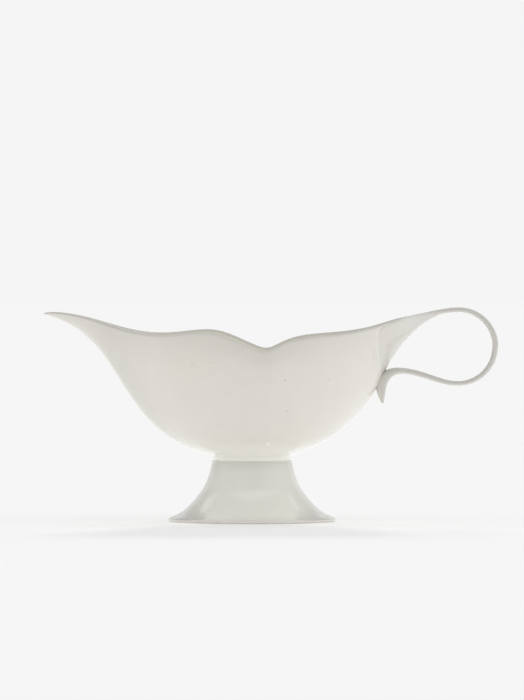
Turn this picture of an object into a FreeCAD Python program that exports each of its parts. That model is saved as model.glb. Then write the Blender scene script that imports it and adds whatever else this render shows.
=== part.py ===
import FreeCAD, Part
import math
import os

import Sketcher
from FreeCAD import Vector

# Footed sauce boat in glazed bone china, in millimetres.
# Frame: origin at the centre of the foot's base, +Z up, the spout towards -X, the handle towards +X.
# The boat is symmetric about the XZ plane.
# Pieces: the bowl casting, the pedestal foot casting, the handle casting, and the two beds of slip
# that lute the foot and the handle to the bowl.

# ---------------------------------------------------------------------------
# Driving sizes, written into the spreadsheet
# ---------------------------------------------------------------------------

SIZES = {
    # pedestal foot, revolved about Z: radius and height of each corner of its half section
    "foot_height": 31.4,
    "foot_top_radius": 21.2,
    "foot_top_bore_radius": 17.8,
    "foot_waist_radius": 27.1,
    "foot_waist_height": 15.2,
    "foot_flare_radius": 37.4,
    "foot_flare_height": 4.5,
    "foot_lip_radius": 42.4,
    "foot_lip_height": 2.5,
    "foot_nose_radius": 44.4,
    "foot_nose_height": 1.2,
    "foot_rim_outer_radius": 43.2,
    "foot_rim_inner_radius": 40.6,
    "foot_inner_flare_radius": 36.6,
    "foot_inner_flare_height": 2.3,
    "foot_inner_waist_radius": 23.9,
    "foot_inner_waist_height": 14.2,
    "foot_upper_curve": 41.0,
    "foot_lower_curve": 30.0,
    "foot_inner_upper_curve": 44.0,
    "foot_inner_lower_curve": 26.0,
    # ring of slip between the foot and the bowl's base ring
    "slip_thickness": 0.4,
    "slip_ring_radius": 20.9,
    # bowl casting
    "base_ring_radius": 20.6,
    "base_ring_bore_radius": 18.0,
    "base_ring_height": 3.0,
    "base_ring_flare": 0.2,
    "hull_start_rise": 0.1,
    "floor_thickness": 3.4,
    "floor_radius": 11.0,
    "floor_corner": 2.0,
    "wall_thickness": 2.2,
    "lip_drop": 0.6,
    "keel_extra_wall": 0.9,
    # handle: a strap that runs round an arc of a circle, thicker at the far side of its loop
    "loop_centre_x": 109.1,
    "loop_centre_z": 92.4,
    "loop_radius": 19.8,
    "loop_half_width": 4.7,
    "loop_half_thickness": 1.35,
    "loop_extra_half_thickness": 0.35,
    # bed of slip between the handle's saddle and the bowl
    "handle_slip_thickness": 0.35,
}

# Rim of the bowl, one side, from the rear point to the spout tip: name, x, half breadth, height.
RIM_STATIONS = [
    ("rear", 82.2, 0.0, 108.4),
    ("rear_corner", 81.2, 4.3, 108.1),
    ("rear_side", 77.5, 9.4, 107.1),
    ("quarter_a", 70.5, 16.4, 104.9),
    ("quarter_b", 60.0, 25.0, 101.9),
    ("quarter_c", 46.0, 33.6, 99.7),
    ("shoulder", 32.0, 39.2, 98.4),
    ("rise_b", 21.0, 41.6, 96.3),
    ("rise_a", 13.0, 42.5, 92.9),
    ("dip", 7.5, 42.9, 90.9),
    ("fall_a", 1.5, 43.0, 92.3),
    ("fall_b", -6.5, 42.8, 95.8),
    ("fall_c", -15.0, 42.1, 99.2),
    ("crest", -24.0, 40.9, 100.8),
    ("sag_a", -35.0, 38.3, 100.1),
    ("sag_b", -48.0, 33.6, 99.2),
    ("spout_a", -61.0, 26.8, 100.4),
    ("spout_b", -74.0, 18.8, 103.7),
    ("spout_c", -86.0, 12.2, 107.4),
    ("spout_d", -96.5, 7.9, 109.7),
    ("spout_e", -104.5, 5.2, 110.6),
    ("tip_side", -109.4, 2.9, 110.4),
    ("tip", -110.8, 0.0, 110.1),
]

# Keel lines of the bowl, from the base ring to the rim: distance from the foot's axis, height.
SPOUT_KEEL = [(20.6, 34.8), (31.9, 37.7), (42.2, 42.8), (52.2, 50.8), (60.6, 60.6), (67.9, 71.3),
              (75.0, 82.8), (82.3, 93.0), (91.4, 101.3), (100.1, 106.2), (110.8, 109.4)]
REAR_KEEL = [(20.6, 34.8), (32.8, 39.4), (44.0, 45.3), (54.0, 54.2), (60.9, 61.6), (65.6, 68.3),
             (67.8, 75.0), (70.2, 83.0), (73.8, 92.6), (78.4, 101.4), (82.2, 107.9)]
SIDE_LINE = [(20.6, 34.8), (28.4, 38.8), (34.4, 45.2), (38.6, 53.6), (41.5, 63.2), (43.1, 73.4),
             (43.6, 83.0), (43.0, 91.6)]

# Strap of the handle after its loop: name, x, z of the centre line, half width, half thickness.
STRAP_END = [
    ("run_a", 103.0, 73.3, 4.4, 1.4),
    ("run_b", 97.5, 75.0, 4.3, 1.5),
    ("run_c", 91.5, 77.0, 4.2, 1.6),
    ("run_d", 85.5, 78.8, 4.1, 1.6),
    ("run_e", 80.0, 79.7, 4.0, 1.65),
    ("curl_a", 75.2, 79.5, 3.9, 2.1),
    ("curl_b", 71.2, 77.6, 3.8, 3.0),
    ("curl_c", 68.6, 73.7, 3.6, 3.2),
    ("curl_d", 68.2, 69.4, 3.2, 2.7),
    ("tail_a", 68.6, 65.8, 2.6, 1.8),
    ("tail_tip", 69.1, 62.6, 1.5, 0.6),
]

# Root of the handle: name, x and z of its top line, x and z of its under side, half width,
# and the power of its under side (1 is a straight V, 2 an ellipse, more is squarer).
ROOT_SECTIONS = [
    ("buried", 56.0, 98.6, 55.0, 57.0, 21.6, 1.35),
    ("saddle", 66.4, 102.7, 64.6, 66.9, 20.8, 1.26),
    ("lap", 73.0, 105.4, 70.8, 79.8, 15.2, 1.42),
    ("behind_rim", 80.0, 108.1, 76.9, 90.4, 10.4, 1.6),
    ("web_a", 87.0, 109.6, 84.6, 99.2, 7.6, 1.9),
    ("web_b", 93.5, 110.95, 92.2, 105.4, 6.0, 2.4),
    ("strap_start", 100.0, 112.4, 99.5, 109.7, 5.0, 3.4),
]

# Flat run of the section's top and of the strap's edges: power of the superellipse.
STRAP_ROUNDNESS = 3.4

ROW_FRACTIONS = (0.0, 0.07, 0.15, 0.25, 0.36, 0.47, 0.58, 0.69, 0.80, 0.90, 0.97)
SECTION_POINTS = 16
LOOP_START_ANGLE = 105
LOOP_END_ANGLE = -90
LOOP_STEP = 15
LIP_SHOULDERS = (0.25, 0.75)
# Base ring: share of its height, share of its flare.
BASE_RING_PROFILE = ((0.0, 1.0), (0.2, 0.5), (0.6, 0.0), (0.9, -0.5))
NET_PASSES = 12
FILLER_COLLAR = 6.0
FILLER_TOP = 130.0
SAME_POINT = 1e-6


# ---------------------------------------------------------------------------
# Document and spreadsheet
# ---------------------------------------------------------------------------

def all_sizes():
    sizes = dict(SIZES)
    for name, x, breadth, height in RIM_STATIONS:
        sizes["rim_" + name + "_x"] = x
        sizes["rim_" + name + "_breadth"] = breadth
        sizes["rim_" + name + "_height"] = height
    return sizes


def make_sheet(doc):
    sheet = doc.addObject("Spreadsheet::Sheet", "Sizes")
    for row, (alias, value) in enumerate(all_sizes().items(), start=1):
        sheet.set("A%d" % row, alias)
        sheet.set("B%d" % row, str(value))
        sheet.setAlias("B%d" % row, alias)
    doc.recompute()
    return sheet


# ---------------------------------------------------------------------------
# Smooth surfaces from a net of control points
# ---------------------------------------------------------------------------

def curve_point(points, fraction):
    """Point of the smooth curve through points, at a fraction of its length."""
    steps = [math.dist(a, b) for a, b in zip(points, points[1:])]
    target = fraction * sum(steps)
    index = 0
    while index < len(steps) - 1 and target > steps[index]:
        target -= steps[index]
        index += 1
    share = target / steps[index]

    def slope(i):
        before, after = max(i - 1, 0), min(i + 1, len(points) - 1)
        span = sum(steps[before:after])
        return [(q - p) / span * steps[index] for p, q in zip(points[before], points[after])]

    start, end = points[index], points[index + 1]
    leave, arrive = slope(index), slope(index + 1)
    s2, s3 = share ** 2, share ** 3
    return [
        (2 * s3 - 3 * s2 + 1) * p + (s3 - 2 * s2 + share) * u + (3 * s2 - 2 * s3) * q + (s3 - s2) * v
        for p, q, u, v in zip(start, end, leave, arrive)
    ]


def through(ring):
    """Control points whose closed cubic spline passes through the points of ring."""
    control = list(ring)
    for _ in range(NET_PASSES):
        missed = [
            p - (control[i - 1] + control[i] * 4 + control[(i + 1) % len(ring)]) / 6
            for i, p in enumerate(ring)
        ]
        control = [c + gap for c, gap in zip(control, missed)]
    return control


def net_face(rows):
    """Cubic spline face over closed rows of control points."""
    around, along = len(rows[0]), len(rows)
    poles = [[row[i] for row in rows] for i in range(around)]
    knots_around = [float(i) for i in range(around + 1)]
    knots_along = [float(i) for i in range(along - 2)]
    repeats_along = [4] + [1] * (along - 4) + [4]
    surface = Part.BSplineSurface()
    surface.buildFromPolesMultsKnots(
        poles, [1] * (around + 1), repeats_along, knots_around, knots_along, True, False, 3, 3
    )
    return surface.toShape()


def net_solid(rows):
    """Solid of a net whose first and last rows are flat rings, closed there by flat faces."""
    side = net_face(rows)
    rings = [edge for edge in side.Edges if edge.isClosed()]
    caps = [Part.Face(Part.Wire([ring])) for ring in rings]
    shell = Part.makeShell([side] + caps)
    shell.sewShape()
    solid = Part.makeSolid(shell)
    if solid.Volume < 0:
        solid.reverse()
    return solid


# ---------------------------------------------------------------------------
# Bowl
# ---------------------------------------------------------------------------

def rim_points(size):
    """One side of the rim, from the rear point to the spout tip."""
    return [
        Vector(size["rim_" + name + "_x"], size["rim_" + name + "_breadth"],
               size["rim_" + name + "_height"])
        for name, *_ in RIM_STATIONS
    ]


def whole_ring(half):
    """Closed ring from the points of its +Y side."""
    return half + [Vector(p.x, -p.y, p.z) for p in reversed(half[1:-1])]


def inward_normals(rim):
    """Unit vectors in plan that point from the rim into the bowl."""
    normals = []
    for i, point in enumerate(rim):
        before = rim[i - 1] if i else Vector(rim[1].x, -rim[1].y, 0)
        after = rim[i + 1] if i < len(rim) - 1 else Vector(rim[-2].x, -rim[-2].y, 0)
        run = Vector(after.x - before.x, after.y - before.y, 0)
        normals.append(Vector(-run.y, run.x, 0).normalize())
    return normals


def column_cosine(rim, point):
    """Share of the way from amidships to the rear point or to the tip."""
    return point.x / (rim[0].x if point.x > 0 else -rim[-1].x)


def hull_rows(base_radius, base_height, rim):
    """Rows of one side of the hull, from the base circle up to the rim."""
    rows = []
    for fraction in ROW_FRACTIONS + (1.0,):
        shares = []
        for line in (SPOUT_KEEL, REAR_KEEL, SIDE_LINE):
            out, up = curve_point(line, fraction)
            first, last = line[0], line[-1]
            shares.append(((out - first[0]) / (last[0] - first[0]),
                           (up - first[1]) / (last[1] - first[1])))
        row = []
        for point in rim:
            cosine = column_cosine(rim, point)
            keel = shares[1] if cosine > 0 else shares[0]
            weight = cosine ** 2
            out = weight * keel[0] + (1 - weight) * shares[2][0]
            up = weight * keel[1] + (1 - weight) * shares[2][1]
            base = Vector(base_radius * cosine, base_radius * math.sqrt(1 - cosine ** 2), base_height)
            row.append(Vector(base.x + (point.x - base.x) * out, base.y + (point.y - base.y) * out,
                              base_height + (point.z - base_height) * up))
        rows.append(row)
    return rows


def circle_row(rim, radius, height):
    row = []
    for point in rim:
        cosine = column_cosine(rim, point)
        row.append(Vector(radius * cosine, radius * math.sqrt(1 - cosine ** 2), height))
    return row


def base_rows(size, rim):
    """The base ring under the hull, from its foot up to the waist."""
    foot = size["foot_height"] + size["slip_thickness"]
    return [
        circle_row(rim, size["base_ring_radius"] + size["base_ring_flare"] * spread,
                   foot + size["base_ring_height"] * rise)
        for rise, spread in BASE_RING_PROFILE
    ]


def hull_base_height(size):
    return (size["foot_height"] + size["slip_thickness"] + size["base_ring_height"]
            + size["hull_start_rise"])


def outer_rows(size):
    rim = rim_points(size)
    edge = [Vector(p.x, p.y, p.z - size["lip_drop"]) for p in rim]
    return base_rows(size, rim) + hull_rows(size["base_ring_radius"], hull_base_height(size), edge)


def bowl_rows(size):
    """Rows of one side of the bowl: out from the base ring, over the lip and down to the floor."""
    rim = rim_points(size)
    wall = size["wall_thickness"]
    drop = size["lip_drop"]
    inward = inward_normals(rim)
    lip = [[p + n * (wall * share) for p, n in zip(rim, inward)] for share in LIP_SHOULDERS]
    inner_rim = [p + n * wall - Vector(0, 0, drop) for p, n in zip(rim, inward)]
    floor = hull_base_height(size) + size["floor_thickness"]
    inner = hull_rows(size["base_ring_radius"] - wall, floor, inner_rim)
    inner = [thicken_keel(size, row, i / (len(inner) - 1)) for i, row in enumerate(inner)]
    corner_row = circle_row(rim, size["base_ring_radius"] - wall - size["floor_corner"], floor)
    floor_row = circle_row(rim, size["floor_radius"], floor)
    return outer_rows(size) + lip + inner[::-1][:-1] + [corner_row, floor_row]


def thicken_keel(size, row, share):
    """Raises the inner wall over the keel, where the slope would leave the wall thin."""
    tip = row[-1].x
    raised = []
    for p in row:
        weight = max(0.0, p.x / tip) ** 2
        raised.append(p + Vector(0, 0, size["keel_extra_wall"] * weight * 4 * share * (1 - share)))
    return raised


def make_bowl(doc, size):
    casting = doc.addObject("Part::Feature", "bowl_casting")
    casting.Shape = net_solid([through(whole_ring(row)) for row in bowl_rows(size)])
    casting.Placement = FreeCAD.Placement()
    bore = doc.addObject("Part::Cylinder", "base_ring_bore")
    bore.setExpression("Radius", "Sizes.base_ring_bore_radius")
    bore.setExpression("Height", "Sizes.base_ring_height")
    bore.setExpression("Placement.Base.z", "Sizes.foot_height + Sizes.slip_thickness")
    bowl = doc.addObject("Part::Cut", "bowl")
    bowl.Base = casting
    bowl.Tool = bore
    bowl.Label = "bowl"
    return bowl


# ---------------------------------------------------------------------------
# Handle
# ---------------------------------------------------------------------------

def power(value, exponent):
    return math.copysign(abs(value) ** exponent, value)


def section_ring(centre, up, half_width, top, depth, roundness):
    """Closed section: half_width to each side, top above the centre and depth below it."""
    ring = []
    for i in range(SECTION_POINTS):
        angle = 2 * math.pi * i / SECTION_POINTS
        under = math.sin(angle) < 0
        exponent = 2 / (roundness if under else STRAP_ROUNDNESS)
        rise = power(math.sin(angle), exponent) * (depth if under else top)
        ring.append(centre + up * rise + Vector(0, half_width * power(math.cos(angle), exponent), 0))
    return ring


def root_rows(size):
    """The saddle and web, from inside the bowl to the start of the strap."""
    rows = []
    half = size["loop_half_thickness"]
    for _, top_x, top_z, under_x, under_z, half_width, roundness in ROOT_SECTIONS:
        top = Vector(top_x, 0, top_z)
        up = (top - Vector(under_x, 0, under_z)).normalize()
        depth = math.dist((top_x, top_z), (under_x, under_z)) - half
        rows.append(section_ring(top - up * half, up, half_width, half, depth, roundness))
    return rows


def strap_rows(size):
    """The strap, from the end of the web round the loop to the tip of the tail."""
    centre_x, centre_z, radius = size["loop_centre_x"], size["loop_centre_z"], size["loop_radius"]
    stations = []
    for angle in range(LOOP_START_ANGLE, LOOP_END_ANGLE - 1, -LOOP_STEP):
        turn = math.radians(angle)
        extra = size["loop_extra_half_thickness"] * max(0.0, math.cos(turn))
        stations.append((centre_x + radius * math.cos(turn), centre_z + radius * math.sin(turn),
                         size["loop_half_width"], size["loop_half_thickness"] + extra))
    stations += [station[1:] for station in STRAP_END]
    rows = []
    for i, (x, z, half_width, half_thickness) in enumerate(stations):
        before, after = stations[max(i - 1, 0)], stations[min(i + 1, len(stations) - 1)]
        run = Vector(after[0] - before[0], 0, after[1] - before[1]).normalize()
        up = Vector(-run.z, 0, run.x)
        rows.append(section_ring(Vector(x, 0, z), up, half_width, half_thickness, half_thickness,
                                 STRAP_ROUNDNESS))
    return rows


def hull_filler(size, grow):
    """Solid that fills the bowl's outer surface and the space above it, grown by a distance."""
    rows = [whole_ring(row) for row in outer_rows(size)]
    rim = rows[-1]
    rows.append([Vector(p.x, p.y, p.z + FILLER_COLLAR) for p in rim])
    rows.append([Vector(p.x, p.y, FILLER_TOP) for p in rim])
    grown = []
    for j, row in enumerate(rows):
        below, above = rows[max(j - 1, 0)], rows[min(j + 1, len(rows) - 1)]
        ring = []
        for i, point in enumerate(row):
            around = row[(i + 1) % len(row)] - row[i - 1]
            rise = above[i] - below[i]
            outward = around.cross(rise)
            if outward.Length < SAME_POINT:
                outward = Vector(point.x, point.y, 0)
            outward.normalize()
            if j in (0, len(rows) - 1):
                outward = Vector(outward.x, outward.y, 0).normalize()
            ring.append(point + outward * grow)
        grown.append(through(ring))
    return net_solid(grown)


def make_handle(doc, size):
    web = net_solid(root_rows(size))
    strap = net_solid([root_rows(size)[-1]] + strap_rows(size))
    whole = web.fuse(strap)
    outside = whole.cut(hull_filler(size, size["handle_slip_thickness"]))
    handle = doc.addObject("Part::Feature", "handle")
    handle.Shape = outside
    handle.Placement = FreeCAD.Placement()
    bed = whole.common(hull_filler(size, size["handle_slip_thickness"]))
    bed = bed.cut(hull_filler(size, 0.0))
    joint = doc.addObject("Part::Feature", "handle_slip_joint")
    joint.Shape = bed
    joint.Placement = FreeCAD.Placement()
    return handle, joint


# ---------------------------------------------------------------------------
# Foot and its ring of slip
# ---------------------------------------------------------------------------

def origin_plane(body, role):
    for feature in body.Origin.OriginFeatures:
        if feature.Role == role:
            return feature
    raise ValueError(role)


def new_body(doc, name):
    body = doc.addObject("PartDesign::Body", name)
    body.Label = name
    return body


def sketch_on(body, name, role):
    sketch = body.newObject("Sketcher::SketchObject", name)
    sketch.AttachmentSupport = [(origin_plane(body, role), "")]
    sketch.MapMode = "FlatFace"
    return sketch


def bend_centre(start, end, radius, side):
    """Centre of the arc of a radius from start to end, on the given side of their chord."""
    chord = end - start
    reach = math.sqrt(radius ** 2 - (chord.Length / 2) ** 2)
    across = Vector(-chord.y, chord.x, 0).normalize()
    return (start + end) * 0.5 + across * (reach * side)


def arc_through(start, end, radius, side):
    centre = bend_centre(start, end, radius, side)
    middle = (start + end) * 0.5
    crown = centre + (middle - centre).normalize() * radius
    return Part.Arc(start, crown, end)


def end_index(sketch, geometry, point):
    """Which end of a sketch edge lies on a point: 1 for its start, 2 for its end."""
    if (sketch.getPoint(geometry, 1) - point).Length < SAME_POINT:
        return 1
    return 2


def bound(sketch, constraint, expression):
    index = sketch.addConstraint(constraint)
    sketch.setExpression("Constraints[%d]" % index, expression)


def draw_outline(sketch, size, corners, edges):
    """Closed outline. corners: names in the sheet of each x and y. edges: None for a straight line,
    a (radius name, side) for an arc, or a (crown x, crown y) pair for an arc through a named crown."""
    points = [Vector(size.get(x, 0.0), size.get(y, 0.0), 0) for x, y in corners]
    shapes = []
    for i, edge in enumerate(edges):
        start, end = points[i], points[(i + 1) % len(points)]
        if edge is None:
            shapes.append(Part.LineSegment(start, end))
        elif isinstance(edge[1], str):
            shapes.append(Part.Arc(start, Vector(size[edge[0]], size[edge[1]], 0), end))
        else:
            shapes.append(arc_through(start, end, size[edge[0]], edge[1]))
    for shape in shapes:
        sketch.addGeometry(shape, False)
    count = len(edges)
    for i in range(count):
        after = (i + 1) % count
        joint = points[after]
        sketch.addConstraint(Sketcher.Constraint(
            "Coincident", i, end_index(sketch, i, joint), after, end_index(sketch, after, joint)))
    for i, (x_name, y_name) in enumerate(corners):
        place = end_index(sketch, i, points[i])
        for axis, name, value in (("DistanceX", x_name, points[i].x), ("DistanceY", y_name, points[i].y)):
            constraint = Sketcher.Constraint(axis, -1, 1, i, place, value)
            if name:
                bound(sketch, constraint, "Sizes." + name)
            else:
                sketch.addConstraint(constraint)
    for i, edge in enumerate(edges):
        if edge is not None and not isinstance(edge[1], str):
            bound(sketch, Sketcher.Constraint("Radius", i, size[edge[0]]), "Sizes." + edge[0])


def revolve(body, sketch, name):
    solid = body.newObject("PartDesign::Revolution", name)
    solid.Profile = sketch
    solid.ReferenceAxis = (sketch, ["V_Axis"])
    solid.Angle = 360.0
    return solid


def make_foot(doc, size):
    body = new_body(doc, "foot")
    sketch = sketch_on(body, "foot_half_section", "XZ_Plane")
    corners = [
        ("foot_top_radius", "foot_height"),
        ("foot_waist_radius", "foot_waist_height"),
        ("foot_flare_radius", "foot_flare_height"),
        ("foot_lip_radius", "foot_lip_height"),
        ("foot_rim_outer_radius", ""),
        ("foot_rim_inner_radius", ""),
        ("foot_inner_flare_radius", "foot_inner_flare_height"),
        ("foot_inner_waist_radius", "foot_inner_waist_height"),
        ("foot_top_bore_radius", "foot_height"),
    ]
    edges = [
        ("foot_upper_curve", 1),
        ("foot_lower_curve", 1),
        None,
        ("foot_nose_radius", "foot_nose_height"),
        None,
        None,
        ("foot_inner_lower_curve", -1),
        ("foot_inner_upper_curve", -1),
        None,
    ]
    draw_outline(sketch, size, corners, edges)
    revolve(body, sketch, "foot_casting")
    return body


def make_foot_slip_joint(doc, size):
    body = new_body(doc, "foot_slip_joint")
    sketch = sketch_on(body, "slip_ring_outline", "XY_Plane")
    for name in ("slip_ring_radius", "base_ring_bore_radius"):
        index = sketch.addGeometry(Part.Circle(Vector(0, 0, 0), Vector(0, 0, 1), size[name]), False)
        sketch.addConstraint(Sketcher.Constraint("Coincident", index, 3, -1, 1))
        bound(sketch, Sketcher.Constraint("Radius", index, size[name]), "Sizes." + name)
    pad = body.newObject("PartDesign::Pad", "slip_ring")
    pad.Profile = sketch
    pad.setExpression("Length", "Sizes.slip_thickness")
    body.setExpression("Placement.Base.z", "Sizes.foot_height")
    return body


# ---------------------------------------------------------------------------
# Whole boat
# ---------------------------------------------------------------------------

def check(doc, pieces):
    for item in doc.Objects:
        faults = [state for state in item.State if state in ("Invalid", "Error")]
        if faults:
            raise RuntimeError("%s is %s" % (item.Name, faults))
    for piece in pieces:
        shape = piece.Shape
        if shape.isNull() or not shape.isValid() or shape.Volume <= 0:
            raise RuntimeError("%s has no sound solid" % piece.Label)
        print("%-18s %d solid, %9.1f mm3" % (piece.Label, len(shape.Solids), shape.Volume))


def main():
    doc = FreeCAD.newDocument("sauce_boat")
    sheet = make_sheet(doc)
    size = {name: float(sheet.get(name)) for name in all_sizes()}
    pieces = [
        make_foot(doc, size),
        make_foot_slip_joint(doc, size),
        make_bowl(doc, size),
        *make_handle(doc, size),
    ]
    doc.recompute()
    check(doc, pieces)
    os.makedirs("parts", exist_ok=True)
    for piece in pieces:
        piece.Shape.exportStep(os.path.join("parts", piece.Label + ".step"))


main()
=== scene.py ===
import math

import bpy
import numpy as np
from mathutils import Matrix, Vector
from mathutils.bvhtree import BVHTree


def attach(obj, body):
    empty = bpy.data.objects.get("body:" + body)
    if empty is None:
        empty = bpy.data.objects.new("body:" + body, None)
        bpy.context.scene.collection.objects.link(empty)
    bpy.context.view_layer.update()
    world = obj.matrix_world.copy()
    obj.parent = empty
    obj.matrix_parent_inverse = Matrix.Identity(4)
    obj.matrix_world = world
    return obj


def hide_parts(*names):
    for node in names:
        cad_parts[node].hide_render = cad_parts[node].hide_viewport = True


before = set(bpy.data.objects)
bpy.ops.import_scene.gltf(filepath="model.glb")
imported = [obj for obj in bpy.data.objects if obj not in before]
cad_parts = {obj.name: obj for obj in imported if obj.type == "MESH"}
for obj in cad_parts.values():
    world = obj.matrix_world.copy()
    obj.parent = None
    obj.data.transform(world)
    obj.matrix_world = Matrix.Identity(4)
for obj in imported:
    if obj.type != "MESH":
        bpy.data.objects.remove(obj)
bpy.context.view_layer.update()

# Footed sauce boat in glazed bone china, standing on a pale studio table.
# The shapes are in millimetres, as the pieces are cast; mesh_from_grid() turns them into metres.
# The spout points towards -X and the handle towards +X; the boat is symmetric about the XZ plane.

MM = 0.001

# ---------------------------------------------------------------------------
# Sizes of the castings, in millimetres
# ---------------------------------------------------------------------------

FOOT_HEIGHT = 31.4
SLIP_THICKNESS = 0.4
BASE_RING_RADIUS = 20.6
BASE_RING_BORE = 18.0
BASE_RING_HEIGHT = 3.0
FLOOR_THICKNESS = 3.4
WALL = 2.2
LIP_DROP = 0.6
LIP_SHOULDERS = (0.25, 0.75)
KEEL_EXTRA_WALL = 0.9

# Rim of the bowl, one side, from the rear point to the spout tip: x, half breadth, height.
RIM = [
    (82.2, 0.0, 108.4), (81.2, 4.3, 108.1), (77.5, 9.4, 107.1), (70.5, 16.4, 104.9),
    (60.0, 25.0, 101.9), (46.0, 33.6, 99.7), (32.0, 39.2, 98.4), (21.0, 41.6, 96.3),
    (13.0, 42.5, 92.9), (7.5, 42.9, 90.9), (1.5, 43.0, 92.3), (-6.5, 42.8, 95.8),
    (-15.0, 42.1, 99.2), (-24.0, 40.9, 100.8), (-35.0, 38.3, 100.1), (-48.0, 33.6, 99.2),
    (-61.0, 26.8, 100.4), (-74.0, 18.8, 103.7), (-86.0, 12.2, 107.4), (-96.5, 7.9, 109.7),
    (-104.5, 5.2, 110.6), (-109.4, 2.9, 110.4), (-110.8, 0.0, 110.1),
]

# Lines of the hull from the base ring to the rim: distance from the foot's axis, height.
SPOUT_KEEL = [(20.6, 34.8), (31.9, 37.7), (42.2, 42.8), (52.2, 50.8), (60.6, 60.6), (67.9, 71.3),
              (75.0, 82.8), (82.3, 93.0), (91.4, 101.3), (100.1, 106.2), (110.8, 109.4)]
REAR_KEEL = [(20.6, 34.8), (32.8, 39.4), (44.0, 45.3), (54.0, 54.2), (60.9, 61.6), (65.6, 68.3),
             (67.8, 75.0), (70.2, 83.0), (73.8, 92.6), (78.4, 101.4), (82.2, 107.9)]
SIDE_LINE = [(20.6, 34.8), (28.4, 38.8), (34.4, 45.2), (38.6, 53.6), (41.5, 63.2), (43.1, 73.4),
             (43.6, 83.0), (43.0, 91.6)]
ROW_FRACTIONS = (0.0, 0.07, 0.15, 0.25, 0.36, 0.47, 0.58, 0.69, 0.80, 0.90, 0.97)

# Root of the handle: x and z of its top line, x and z of its under side, half width,
# and the power of its under side (1 is a straight V, 2 an ellipse, more is squarer).
ROOT_SECTIONS = [
    (56.0, 98.6, 55.0, 57.0, 21.6, 1.35), (66.4, 102.7, 64.6, 66.9, 20.8, 1.26),
    (73.0, 105.4, 70.8, 79.8, 15.2, 1.42), (80.0, 108.1, 76.9, 90.4, 10.4, 1.6),
    (87.0, 109.6, 84.6, 99.2, 7.6, 1.9), (93.5, 110.95, 92.2, 105.4, 6.0, 2.4),
    (100.0, 112.4, 99.5, 109.7, 5.0, 3.4),
]
# Strap after its loop: x, z of the centre line, half width, half thickness.
STRAP_END = [
    (103.0, 73.3, 4.4, 1.4), (97.5, 75.0, 4.3, 1.5), (91.5, 77.0, 4.2, 1.6), (85.5, 78.8, 4.1, 1.6),
    (80.0, 79.7, 4.0, 1.65), (75.2, 79.5, 3.9, 2.1), (71.2, 77.6, 3.8, 3.0), (68.6, 73.7, 3.6, 3.2),
    (68.2, 69.4, 3.2, 2.7), (68.6, 65.8, 2.6, 1.8), (69.1, 62.6, 1.5, 0.6),
]
# The loop's radius is a touch under the solid's, so that the mesh stays inside the solid's box.
LOOP_CENTRE = (109.1, 92.4)
LOOP_RADIUS = 19.74
LOOP_HALF_WIDTH = 4.7
LOOP_HALF_THICKNESS = 1.35
LOOP_EXTRA_HALF_THICKNESS = 0.35
LOOP_ANGLES = range(105, -91, -15)
SECTION_POINTS = 16
STRAP_ROUNDNESS = 3.4
# Fillet of slip along the handle's seam: its reach, the share of it that is left at the rim, the drop
# below the rim over which it grows, and how deep its back lies in the two castings.
BEAD_REACH = 1.3
BEAD_LEAST_SHARE = 0.08
BEAD_FADE = 9.0
BEAD_BACK = 0.4
BEAD_TUCK = 0.12
# Its section, as shares of the reach: toes, shoulders and hollow, and the slip's height over the skin.
BEAD_TOE = 1.3
BEAD_SHOULDER = 0.72
BEAD_HOLLOW = 0.20
BEAD_SKIN = 0.08

# Closed half section of the foot, outside then inside: radius, height.
FOOT_SECTION = [
    (18.2, 31.4), (20.5, 31.4), (21.15, 31.1), (21.55, 28.6), (22.4, 25.6), (23.5, 22.2), (25.2, 18.2),
    (27.6, 14.8), (30.4, 11.3), (33.2, 8.3), (36.0, 5.7), (39.0, 3.8), (42.0, 2.6), (43.8, 1.85),
    (44.6, 1.2), (43.9, 0.6), (42.8, 0.15), (42.0, 0.0), (41.2, 0.0), (40.4, 0.2), (38.2, 1.2),
    (34.4, 3.3), (30.6, 6.4), (27.0, 10.2), (24.0, 14.0), (21.4, 18.6), (19.4, 23.6), (18.2, 28.4),
    (17.8, 30.8),
]
# Closed half section of the fillet of slip over the joint of foot and bowl: radius, height.
FOOT_BEAD_SECTION = [
    (18.2, 31.3), (20.2, 31.1), (21.1, 30.9), (21.2, 31.3), (20.95, 31.7), (20.75, 32.2), (20.6, 32.6),
    (20.2, 32.2), (18.2, 31.9),
]

# Distance in metres given to the two points that close the bowl's mesh, well away from its lip.
FAR_FROM_LIP = 1.0
# Height of the hull's first row over the base ring, and radii of the bowl's floor rows.
HULL_START_RISE = 0.1
FLOOR_RADII = (16.4, 11.0, 4.0)

# Passes in through(), and the tall solid that fills the hull: its collar over the rim, and its top.
NET_PASSES = 12
FILLER_COLLAR = 6.0
FILLER_TOP = 130.0
# Depth under the hull's skin to which the handle is cut, so that no gap shows at its seam.
HANDLE_CUT_DEPTH = 0.35
# Edges of the cut handle that turn by more than this many degrees stay sharp.
SHARP_ANGLE = 42


# ---------------------------------------------------------------------------
# Smooth surfaces from nets of control points
# ---------------------------------------------------------------------------

def curve_point(points, fraction):
    """Point of the smooth curve through points, at a fraction of its length."""
    steps = [math.dist(a, b) for a, b in zip(points, points[1:])]
    target = fraction * sum(steps)
    index = 0
    while index < len(steps) - 1 and target > steps[index]:
        target -= steps[index]
        index += 1
    share = target / steps[index]

    def slope(i):
        before, after = max(i - 1, 0), min(i + 1, len(points) - 1)
        span = sum(steps[before:after])
        return [(q - p) / span * steps[index] for p, q in zip(points[before], points[after])]

    start, end = points[index], points[index + 1]
    leave, arrive = slope(index), slope(index + 1)
    s2, s3 = share ** 2, share ** 3
    return [
        (2 * s3 - 3 * s2 + 1) * p + (s3 - 2 * s2 + share) * u + (3 * s2 - 2 * s3) * q + (s3 - s2) * v
        for p, q, u, v in zip(start, end, leave, arrive)
    ]


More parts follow.
